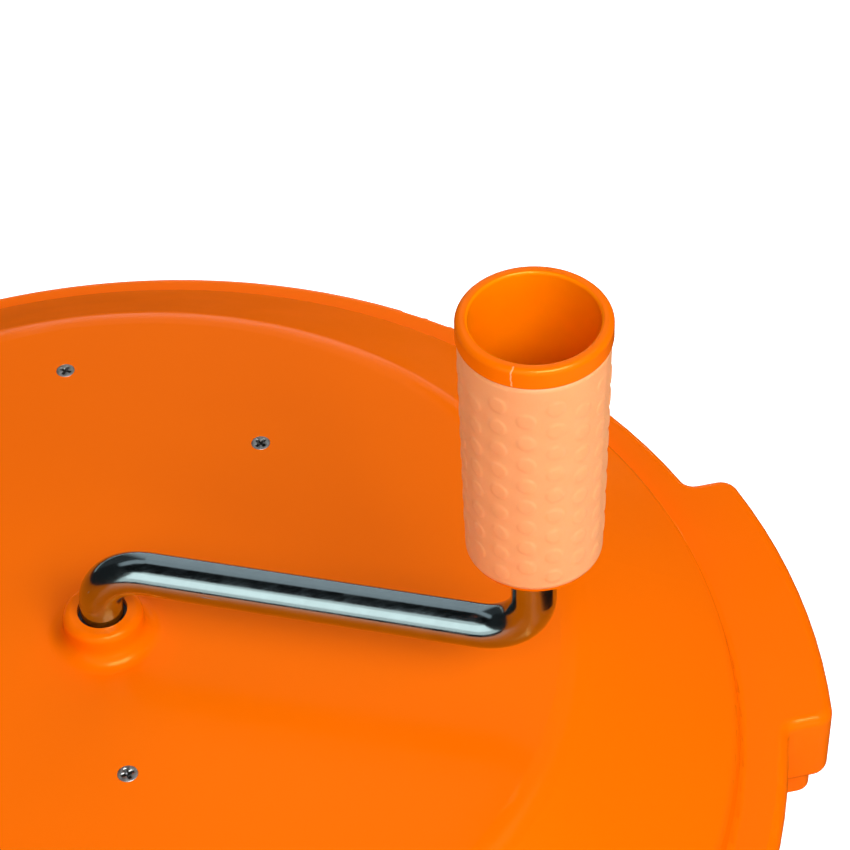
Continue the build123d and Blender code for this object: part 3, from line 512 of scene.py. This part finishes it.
def new_piece(name, mesh, material, body, slot, *stands_for):
    """Links a finished mesh, rides it on its body and hides the CAD nodes that it stands for."""
    piece = bpy.data.objects.new(name, mesh)
    bpy.context.scene.collection.objects.link(piece)
    mesh.materials.append(material)
    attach(piece, body)
    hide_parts(*stands_for)
    return piece


def mesh_from(name, build):
    """A smooth-shaded mesh that a function fills through bmesh."""
    mesh = bpy.data.meshes.new(name)
    bm = bmesh.new()
    build(bm)
    bmesh.ops.remove_doubles(bm, verts=bm.verts, dist=TINY)
    bmesh.ops.recalc_face_normals(bm, faces=bm.faces)
    bm.to_mesh(mesh)
    bm.free()
    mesh.shade_smooth()
    return mesh


def bridge(bm, first, second):
    """Quads between two closed rings of as many points."""
    count = len(first)
    for i in range(count):
        j = (i + 1) % count
        bm.faces.new((first[i], first[j], second[j], second[i]))


class SPINNER_OT_shell(bpy.types.Operator):
    """Glossy moulded finish of the lid and the tub"""

    bl_idname = "spinner.shell"
    bl_label = "Finish lid and tub"

    def execute(self, context):
        c = colours()
        clean = {"scratch": 0.02, "specular": 0.26, "sheen": c.sheen}
        lid = moulded_plastic("lid_plastic", c.shell, c.shell_deep, gloss=(0.16, 0.24), **clean)
        dress(lid, "lid")
        tub = moulded_plastic("tub_plastic", c.shell, c.shell_deep, gloss=(0.18, 0.255), flow=4.0, **clean)
        dress(tub, "tub")
        return {"FINISHED"}


class SPINNER_OT_grip(bpy.types.Operator):
    """Hand grip: moulded core and a soft sleeve with raised dots"""

    bl_idname = "spinner.grip"
    bl_label = "Make grip"

    def execute(self, context):
        c = colours()
        core = moulded_plastic("grip_plastic", c.grip, deeper(c.grip, 0.95), gloss=(0.16, 0.24), flow=25.0,
                               scratch=0.1, specular=0.4, sheen=c.sheen)
        # Painted light: the inside of the cup gets the lighter cup tone instead of the core's own tone.
        paint_light_inside(core, middle_of("grip_core"), ring_radius() - sizes().ring_wall, c.cup)
        seam_line(core, middle_of("grip_core"), c.sleeve)
        dress(core, "grip_core")
        rubber = soft_rubber("sleeve_rubber", c.sleeve, deeper(c.sleeve, 0.94), gloss=(0.45, 0.6),
                             relief=0.00004)
        soften(rubber, weight=0.25, radius=(1.0, 0.5, 0.25), scale=0.0012)
        new_piece("grip_sleeve_dotted", mesh_from("grip_sleeve_dotted", dotted_sleeve), rubber, "grip",
                  "peach_sleeve", "grip_sleeve")
        return {"FINISHED"}


def soften(material, weight, radius, scale):
    """Let light wander a little inside a soft moulding."""
    shader = shader_of(material)
    shader.inputs["Subsurface Weight"].default_value = weight
    shader.inputs["Subsurface Radius"].default_value = radius
    shader.inputs["Subsurface Scale"].default_value = scale


def paint_light_inside(material, centre, radius, tone):
    """Paints another tone on what lies within a radius of an upright axis; for the cup it is a lighter tone,
    painted light in place of light that does not reach in.
    """
    g = Graph(material.node_tree)
    shader = shader_of(material)
    place = g.add("ShaderNodeTexCoord").outputs["Object"]
    offset = g.add("ShaderNodeVectorMath", [(0, place), (1, centre)], operation="SUBTRACT")
    flat = g.add("ShaderNodeVectorMath", [(0, offset.outputs[0]), (1, (1, 1, 0))], operation="MULTIPLY")
    reach = g.add("ShaderNodeVectorMath", [(0, flat.outputs[0])], operation="LENGTH")
    inside = g.add("ShaderNodeMapRange", [("Value", reach.outputs["Value"]), ("From Min", radius),
                                          ("From Max", radius + CUP_BLEND), ("To Min", 1.0), ("To Max", 0.0)])
    lay_over(g, shader, inside.outputs["Result"], tone)


def seam_line(material, centre, tone):
    """A short pale moulding seam across the outside of the grip's ring."""
    s = sizes()
    bearing = s.seam_bearing
    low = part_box("grip_core")[1].z - s.seam_height
    g = Graph(material.node_tree)
    shader = shader_of(material)
    place = g.add("ShaderNodeTexCoord").outputs["Object"]
    offset = g.add("ShaderNodeVectorMath", [(0, place), (1, centre)], operation="SUBTRACT")
    part = g.add("ShaderNodeSeparateXYZ", [(0, offset.outputs[0])])
    along = g.add("ShaderNodeMath", [(0, part.outputs["X"]), (1, math.cos(bearing))], operation="MULTIPLY")
    along = g.add("ShaderNodeMath", [(0, part.outputs["Y"]), (1, math.sin(bearing)), (2, along.outputs[0])],
                  operation="MULTIPLY_ADD")
    across = g.add("ShaderNodeMath", [(0, part.outputs["X"]), (1, -math.sin(bearing))], operation="MULTIPLY")
    across = g.add("ShaderNodeMath", [(0, part.outputs["Y"]), (1, math.cos(bearing)), (2, across.outputs[0])],
                   operation="MULTIPLY_ADD")
    wobble = g.add("ShaderNodeTexNoise", [("Vector", place), ("Scale", 420.0), ("Detail", 2.0)])
    bent = g.add("ShaderNodeMath", [(0, wobble.outputs["Fac"]), (1, s.seam_sway), (2, across.outputs[0])],
                 operation="MULTIPLY_ADD")
    near = g.add("ShaderNodeMath", [(0, bent.outputs[0]), (1, s.seam_sway / 2), (2, s.seam_half)],
                 operation="COMPARE")
    outside = g.add("ShaderNodeMath", [(0, along.outputs[0]), (1, ring_radius() - s.ring_wall / 2)],
                    operation="GREATER_THAN")
    high = g.add("ShaderNodeMath", [(0, part.outputs["Z"]), (1, low - centre.z)], operation="GREATER_THAN")
    mask = g.add("ShaderNodeMath", [(0, near.outputs[0]), (1, outside.outputs[0])], operation="MULTIPLY")
    mask = g.add("ShaderNodeMath", [(0, mask.outputs[0]), (1, high.outputs[0])], operation="MULTIPLY")
    lay_over(g, shader, mask.outputs[0], tone)


def ring_radius():
    """Radius of the ring at the top of the grip core."""
    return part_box("grip_core")[1].x - middle_of("grip_core").x


def dotted_sleeve(bm):
    """Sleeve skin in cells, one raised dot to a cell, with every other column shifted by half a cell."""
    s = sizes()
    low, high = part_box("grip_sleeve")
    centre = middle_of("grip_sleeve")
    top_radius = ring_radius() - s.sleeve_inset
    length = high.z - low.z
    width = 2 * math.pi / s.dot_columns

    def point(angle, depth, lift):
        """A skin point from its angle, its distance below the top edge and its height above the skin."""
        radius = top_radius - s.sleeve_taper * depth / length + lift
        return (centre.x + radius * math.cos(angle), centre.y + radius * math.sin(angle), high.z - depth)

    cell_top = s.dot_first - s.dot_pitch / 2
    rows = int((length - cell_top) / s.dot_pitch)
    cell_low = cell_top + rows * s.dot_pitch

    def strip(left, start, stop, count):
        """A plain stretch of one column."""
        for i in range(count):
            for j in range(CELL_STEPS):
                corners = [(j, i), (j + 1, i), (j + 1, i + 1), (j, i + 1)]
                bm.faces.new([bm.verts.new(point(left + width * a / CELL_STEPS,
                                                 start + (stop - start) * b / count, 0)) for a, b in corners])

    for column in range(s.dot_columns):
        left = s.dot_bearing + (column - 0.5) * width
        half = column % 2 == 0
        strip(left, 0, cell_top, 2)
        strip(left, cell_low, length, 1)
        shift = s.dot_pitch / 2 if half else 0
        if half:
            strip(left, cell_top, cell_top + shift, CELL_STEPS // 2)
            strip(left, cell_low - shift, cell_low, CELL_STEPS // 2)
        for row in range(rows - (1 if half else 0)):
            dot_cell(bm, point, left + width / 2, cell_top + shift + (row + 0.5) * s.dot_pitch, width)
    add_sleeve_ends(bm, point, length, CELL_STEPS * s.dot_columns)


def dot_cell(bm, point, angle, depth, width):
    """One cell of the sleeve: square border, then rings up to a domed flat-topped dot."""
    s = sizes()
    arc = ring_radius() - s.sleeve_inset
    shares = [i / CELL_STEPS for i in range(CELL_STEPS)]
    border = [(-0.5 + a, -0.5) for a in shares] + [(0.5, -0.5 + a) for a in shares]
    border += [(0.5 - a, 0.5) for a in shares] + [(-0.5, 0.5 - a) for a in shares]
    outer = [bm.verts.new(point(angle + u * width, depth + v * s.dot_pitch, 0)) for u, v in border]
    turns = [math.atan2(v * s.dot_pitch, u * width * arc) for u, v in border]
    last = outer
    for share, lift in DOT_PROFILE:
        reach = s.dot_radius * share
        ring = [bm.verts.new(point(angle + reach * math.cos(t) / arc, depth + reach * math.sin(t),
                                   s.dot_height * lift)) for t in turns]
        bridge(bm, last, ring)
        last = ring
    tip = bm.verts.new(point(angle, depth, s.dot_height))
    for i in range(len(last)):
        bm.faces.new((last[i], last[(i + 1) % len(last)], tip))


def add_sleeve_ends(bm, point, length, count):
    """Inner wall of the sleeve and its two end rings."""
    s = sizes()
    rings = []
    for depth, lift in ((0, 0), (0, -s.sleeve_wall), (length, -s.sleeve_wall), (length, 0)):
        turns = [s.dot_bearing + 2 * math.pi * (i / count - 0.5 / s.dot_columns) for i in range(count)]
        rings.append([bm.verts.new(point(t, depth, lift)) for t in turns])
    for first, second in zip(rings, rings[1:]):
        bridge(bm, first, second)


class SPINNER_OT_screws(bpy.types.Operator):
    """Countersunk gearbox screws with cross recesses"""

    bl_idname = "spinner.screws"
    bl_label = "Make screws"

    def execute(self, context):
        material = polished_steel("screw_plating", colours().zinc, along=0.0, gloss=(0.3, 0.45))
        places = screw_places()
        if not places:
            raise RuntimeError("the gearbox screws were not found in the frame")
        top = places[0][0].z
        # Painted shade in the cross recesses and round the sunk edge of each head.
        paint_shade_below(material, top - PAINTED_SHADE_FULL, top - PAINTED_SHADE_NONE)
        mesh = mesh_from("gearbox_screw_heads", lambda bm: add_screws(bm, places))
        new_piece("gearbox_screw_heads", mesh, material, "lid", "zinc_steel", "gearbox_screws")
        return {"FINISHED"}


def paint_shade_below(material, low, high):
    """Painted shade: a dark, dull, non-metal tone on a plated piece below a level, such as in a screw's
    recess, standing in for the shade there.
    """
    g = Graph(material.node_tree)
    shader = shader_of(material)
    clean = shader.inputs["Base Color"].links[0].from_socket
    place = g.add("ShaderNodeTexCoord").outputs["Object"]
    z = g.add("ShaderNodeSeparateXYZ", [(0, place)]).outputs["Z"]
    plated = g.add("ShaderNodeMapRange", [("Value", z), ("From Min", low),
                                          ("From Max", high)]).outputs["Result"]
    tint = g.add("ShaderNodeMix", [("Factor", plated)], data_type="RGBA")
    tint.inputs[6].default_value = colour4(PAINTED_SHADE)
    g.link(clean, tint.inputs[7])
    g.link(tint.outputs[2], shader.inputs["Base Color"])
    g.link(plated, shader.inputs["Metallic"])


def screw_places():
    """Middle, head radius and top of each screw, read from the CAD node's separate solids."""
    mesh = NODES["gearbox_screws"].data
    groups = []
    for vertex in mesh.vertices:
        near = next((g for g in groups if (g[0].co.xy - vertex.co.xy).length < SCREW_REACH), None)
        if near is None:
            groups.append([vertex])
        else:
            near.append(vertex)
    found = []
    for group in groups:
        xs = [v.co.x for v in group]
        ys = [v.co.y for v in group]
        zs = [v.co.z for v in group]
        middle = Vector(((min(xs) + max(xs)) / 2, (min(ys) + max(ys)) / 2, max(zs)))
        found.append((middle, (max(xs) - min(xs)) / 2, min(zs)))
    return found


def add_screws(bm, places):
    """Each screw as rings round its axis: recess floor, recess wall, head, cone, shank and point."""
    s = sizes()
    corner = math.atan2(s.recess_width / 2, s.recess_arm)
    notch = math.pi / 4
    turns = []
    for quarter in range(4):
        base = quarter * math.pi / 2
        for share in (-1.0, -0.5, 0.0, 0.5, 1.0):
            turns.append(base + corner * share)
        for share in (0.3, 0.65, 1.0, 1.35, 1.7):
            turns.append(base + corner + (notch - corner) * share)
    for index, (middle, head, low) in enumerate(places):
        spin = index * NEXT_TURN + FIRST_TURN
        shank = head / 2

        def ring(radius_at, z):
            """A closed ring whose radius may follow the cross."""
            return [bm.verts.new((middle.x + radius_at(t) * math.cos(t + spin),
                                  middle.y + radius_at(t) * math.sin(t + spin), z)) for t in turns]

        def cross(scale):
            """Distance from the middle to the edge of the cross at an angle."""
            def at(t):
                u, v = abs(math.cos(t)), abs(math.sin(t))
                far = min(s.recess_arm / max(u, TINY), s.recess_width / 2 / max(v, TINY))
                up = min(s.recess_arm / max(v, TINY), s.recess_width / 2 / max(u, TINY))
                return scale * max(far, up)
            return at

        top = middle.z
        rings = [ring(cross(share), top - s.recess_depth * deep) for share, deep in RECESS_STEPS]
        rings += [
            ring(cross(1.0), top - RECESS_EDGE),
            ring(lambda t: cross(1.0)(t) + RECESS_BEVEL, top),
            ring(lambda t: head - HEAD_BEVEL, top),
            ring(lambda t: head, top - HEAD_EDGE),
            ring(lambda t: shank, top - (head - shank)),
            ring(lambda t: shank, low + shank),
            ring(lambda t: shank * POINT_SHARE, low),
        ]
        for first, second in zip(rings, rings[1:]):
            bridge(bm, first, second)
        bm.faces.new(rings[0])
        bm.faces.new(rings[-1])


class SPINNER_OT_rod(bpy.types.Operator):
    """Polished steel finish of the crank rod"""

    bl_idname = "spinner.rod"
    bl_label = "Finish crank rod"

    def execute(self, context):
        grip = middle_of("grip_core")
        bearing = math.atan2(grip.y, grip.x)
        steel = polished_steel("rod_steel_polished", colours().steel, along=-bearing, gloss=(0.10, 0.20))
        dress(steel, "crank_rod")
        return {"FINISHED"}


class SPINNER_OT_gearbox(bpy.types.Operator):
    """Gears, bushings, axle and cover of the gearbox"""

    bl_idname = "spinner.gearbox"
    bl_label = "Finish gearbox"

    def execute(self, context):
        c = colours()
        teeth = moulded_plastic("gear_plastic_natural", c.gear, deeper(c.gear, 0.88), gloss=(0.38, 0.52),
                                flow=30.0)
        dress(teeth, "crank_gear", "counter_gear", "output_gear")
        cover = moulded_plastic("cover_plastic", c.natural, deeper(c.natural, 0.93), gloss=(0.36, 0.5),
                                flow=10.0)
        dress(cover, "gearbox_cover")
        slippery = moulded_plastic("bearing_plastic_dark", c.bearing, deeper(c.bearing, 0.7),
                                   gloss=(0.3, 0.45), flow=40.0)
        dress(slippery, "crank_bushing", "output_bushing", "basket_bearing", "crank_washer", "grip_washer")
        plated = polished_steel("pin_plating", c.zinc, along=0.0, gloss=(0.25, 0.4))
        dress(plated, "counter_axle", "crank_pin", "drive_screw", "drive_washer", "grip_nut", "pivot_pin")
        return {"FINISHED"}


class SPINNER_OT_basket(bpy.types.Operator):
    """Natural plastic of the basket, drive plate and drain fittings"""

    bl_idname = "spinner.basket"
    bl_label = "Finish basket and drain"

    def execute(self, context):
        c = colours()
        basket = moulded_plastic("basket_plastic", c.natural, deeper(c.natural, 0.95), gloss=(0.34, 0.48))
        dress(basket, "basket")
        plate = moulded_plastic("plate_plastic", c.natural, deeper(c.natural, 0.94), gloss=(0.36, 0.5))
        dress(plate, "drive_plate")
        fitting = moulded_plastic("drain_plastic_natural", c.natural, deeper(c.natural, 0.9),
                                  gloss=(0.38, 0.5), flow=40.0)
        dress(fitting, "drain_spout", "drain_nut")
        return {"FINISHED"}


class SPINNER_OT_rubber(bpy.types.Operator):
    """Black rubber of the feet, gaskets, seal and drain plug"""

    bl_idname = "spinner.rubber"
    bl_label = "Finish rubber"

    def execute(self, context):
        c = colours()
        black = soft_rubber("black_rubber_matt", c.rubber, deeper(c.rubber, 0.7), gloss=(0.6, 0.8),
                            relief=0.00005)
        dress(black, "tub_feet", "gearbox_gasket", "output_seal", "drain_gasket", "drain_plug")
        return {"FINISHED"}


class SPINNER_OT_stage(bpy.types.Operator):
    """White floor, soft light and the camera"""

    bl_idname = "spinner.stage"
    bl_label = "Set stage"

    def execute(self, context):
        scene = context.scene
        s = scene.spinner_stage
        scene.view_settings.view_transform = "Standard"
        set_world(scene, s.fill)
        add_floor(scene)
        for name, place, aim, size, share, glossy in LAMPS:
            add_soft_box(scene, name, place, aim, size, s.key_power * share, glossy)
        for name, place, aim, size, tone, fade in CARDS:
            add_card(scene, name, place, aim, size, tone, fade)
        add_camera(scene, s)
        return {"FINISHED"}


def seen_ray(g):
    """One for rays that look: from the camera, off a gloss or through glass."""
    path = g.add("ShaderNodeLightPath")
    seen = g.add("ShaderNodeMath", [(0, path.outputs["Is Camera Ray"]), (1, path.outputs["Is Glossy Ray"])],
                 operation="MAXIMUM")
    return g.add("ShaderNodeMath", [(0, seen.outputs[0]), (1, path.outputs["Is Transmission Ray"])],
                 operation="MAXIMUM").outputs[0]


def set_world(scene, fill):
    """White to the camera and to reflections, softer as light."""
    world = bpy.data.worlds.new("studio_white")
    scene.world = world
    world.use_nodes = True
    tree = world.node_tree
    tree.nodes.clear()
    g = Graph(tree)
    strength = g.add("ShaderNodeMapRange", [("Value", seen_ray(g)), ("To Min", fill), ("To Max", 1.0)])
    background = g.add("ShaderNodeBackground", [("Color", (1, 1, 1, 1)),
                                                ("Strength", strength.outputs["Result"])])
    output = g.add("ShaderNodeOutputWorld")
    g.link(background.outputs[0], output.inputs["Surface"])


def flat_sheet(name, width, depth):
    """A level rectangle about its middle."""
    mesh = bpy.data.meshes.new(name)
    x, y = width / 2, depth / 2
    mesh.from_pydata([(-x, -y, 0), (x, -y, 0), (x, y, 0), (-x, y, 0)], [], [(0, 1, 2, 3)])
    return mesh


def add_floor(scene):
    """Pale floor that is white to the camera away from the shadow."""
    mesh = flat_sheet("studio_floor", FLOOR_WIDTH, FLOOR_WIDTH)
    floor = bpy.data.objects.new("studio_floor", mesh)
    scene.collection.objects.link(floor)
    material, g = bare_material("floor_white")
    place = g.add("ShaderNodeTexCoord").outputs["Object"]
    cloud = g.add("ShaderNodeTexNoise", [("Vector", place), ("Scale", 3.0), ("Detail", 3.0)])
    tint = g.add("ShaderNodeMix", [("Factor", cloud.outputs["Fac"])], data_type="RGBA")
    tint.inputs[6].default_value = colour4(FLOOR_TONES[0])
    tint.inputs[7].default_value = colour4(FLOOR_TONES[1])
    matt = g.add("ShaderNodeBsdfDiffuse", [("Color", tint.outputs[2])])
    away = g.add("ShaderNodeVectorMath", [(0, place)], operation="LENGTH")
    paler = g.add("ShaderNodeMapRange", [("Value", away.outputs["Value"]), ("From Min", FLOOR_NEAR),
                                         ("From Max", FLOOR_FAR), ("To Min", FLOOR_LIFT), ("To Max", 1.0)])
    lift = g.add("ShaderNodeMath", [(0, seen_ray(g)), (1, paler.outputs["Result"])], operation="MULTIPLY")
    glow = g.add("ShaderNodeEmission", [("Color", (1, 1, 1, 1)), ("Strength", lift.outputs[0])])
    both = g.add("ShaderNodeAddShader")
    g.link(matt.outputs[0], both.inputs[0])
    g.link(glow.outputs[0], both.inputs[1])
    show(g, both)
    mesh.materials.append(material)


def add_soft_box(scene, name, place, target, size, power, glossy):
    """A rectangular soft light that looks at a target."""
    light = bpy.data.lights.new(name, "AREA")
    light.shape = "RECTANGLE"
    light.size, light.size_y = size
    light.energy = power
    lamp = bpy.data.objects.new(name, light)
    lamp.location = place
    lamp.visible_camera = False
    lamp.visible_glossy = glossy
    lamp.rotation_euler = (Vector(target) - Vector(place)).to_track_quat("-Z", "Y").to_euler()
    scene.collection.objects.link(lamp)


def add_card(scene, name, place, target, size, tone, fade):
    """A card that only reflections see, for highlights and bands on the rod; it can fade to one side."""
    mesh = flat_sheet(name, *size)
    card = bpy.data.objects.new(name, mesh)
    card.location = place
    card.rotation_euler = (Vector(target) - Vector(place)).to_track_quat("-Z", "Y").to_euler()
    for ray in ("camera", "diffuse", "transmission", "volume_scatter", "shadow"):
        setattr(card, "visible_" + ray, False)
    scene.collection.objects.link(card)
    material, g = bare_material(name)
    glow = g.add("ShaderNodeEmission", [("Color", (tone, tone, tone * CARD_COOL, 1)), ("Strength", 1.0)])
    if fade:
        place = g.add("ShaderNodeTexCoord").outputs["Object"]
        side = g.add("ShaderNodeSeparateXYZ", [(0, place)]).outputs["X"]
        soft = g.add("ShaderNodeMapRange", [("Value", side), ("From Min", fade[0]), ("From Max", fade[1]),
                                            ("To Min", 1.0), ("To Max", CARD_FADED)],
                     interpolation_type="SMOOTHERSTEP")
        g.link(soft.outputs["Result"], glow.inputs["Strength"])
    show(g, glow)
    mesh.materials.append(material)


def add_camera(scene, s):
    """Camera from its place, heading, pitch and roll."""
    forward = Vector((math.sin(s.heading) * math.cos(s.pitch), math.cos(s.heading) * math.cos(s.pitch),
                      -math.sin(s.pitch)))
    right = Vector((math.cos(s.heading), -math.sin(s.heading), 0))
    up = right.cross(forward)
    side = math.cos(s.roll) * right + math.sin(s.roll) * up
    top = -math.sin(s.roll) * right + math.cos(s.roll) * up
    turn = Matrix((side, top, -forward)).transposed()
    data = bpy.data.cameras.new("photo_camera")
    data.lens = s.lens
    data.sensor_width = SENSOR
    data.clip_start, data.clip_end = 0.01, 50.0
    camera = bpy.data.objects.new("photo_camera", data)
    camera.matrix_world = Matrix.Translation(Vector(s.camera_place)) @ turn.to_4x4()
    scene.collection.objects.link(camera)
    scene.camera = camera


class SPINNER_PT_panel(bpy.types.Panel):
    """Lists the spinner's pieces"""

    bl_idname = "SPINNER_PT_panel"
    bl_label = "Salad spinner"
    bl_space_type = "VIEW_3D"
    bl_region_type = "UI"
    bl_category = "Spinner"

    def draw(self, context):
        for step in STEPS:
            self.layout.operator(step.bl_idname)


GROUPS = (SpinnerColours, SpinnerSizes, SpinnerStage)
STEPS = (SPINNER_OT_shell, SPINNER_OT_grip, SPINNER_OT_screws, SPINNER_OT_rod, SPINNER_OT_gearbox,
         SPINNER_OT_basket, SPINNER_OT_rubber, SPINNER_OT_stage)
CLASSES = (*GROUPS, *STEPS, SPINNER_PT_panel)


def register():
    """Adds the classes and the scene's settings to Blender."""
    for cls in CLASSES:
        bpy.utils.register_class(cls)
    bpy.types.Scene.spinner_colours = bpy.props.PointerProperty(type=SpinnerColours)
    bpy.types.Scene.spinner_sizes = bpy.props.PointerProperty(type=SpinnerSizes)
    bpy.types.Scene.spinner_stage = bpy.props.PointerProperty(type=SpinnerStage)


def unregister():
    """Takes the settings and classes away again."""
    del bpy.types.Scene.spinner_stage
    del bpy.types.Scene.spinner_sizes
    del bpy.types.Scene.spinner_colours
    for cls in reversed(CLASSES):
        bpy.utils.unregister_class(cls)


def main():
    """Makes the pieces and the stage in order."""
    register()
    for step in STEPS:
        group, name = step.bl_idname.split(".")
        getattr(getattr(bpy.ops, group), name)()


if __name__ == "__main__":
    main()
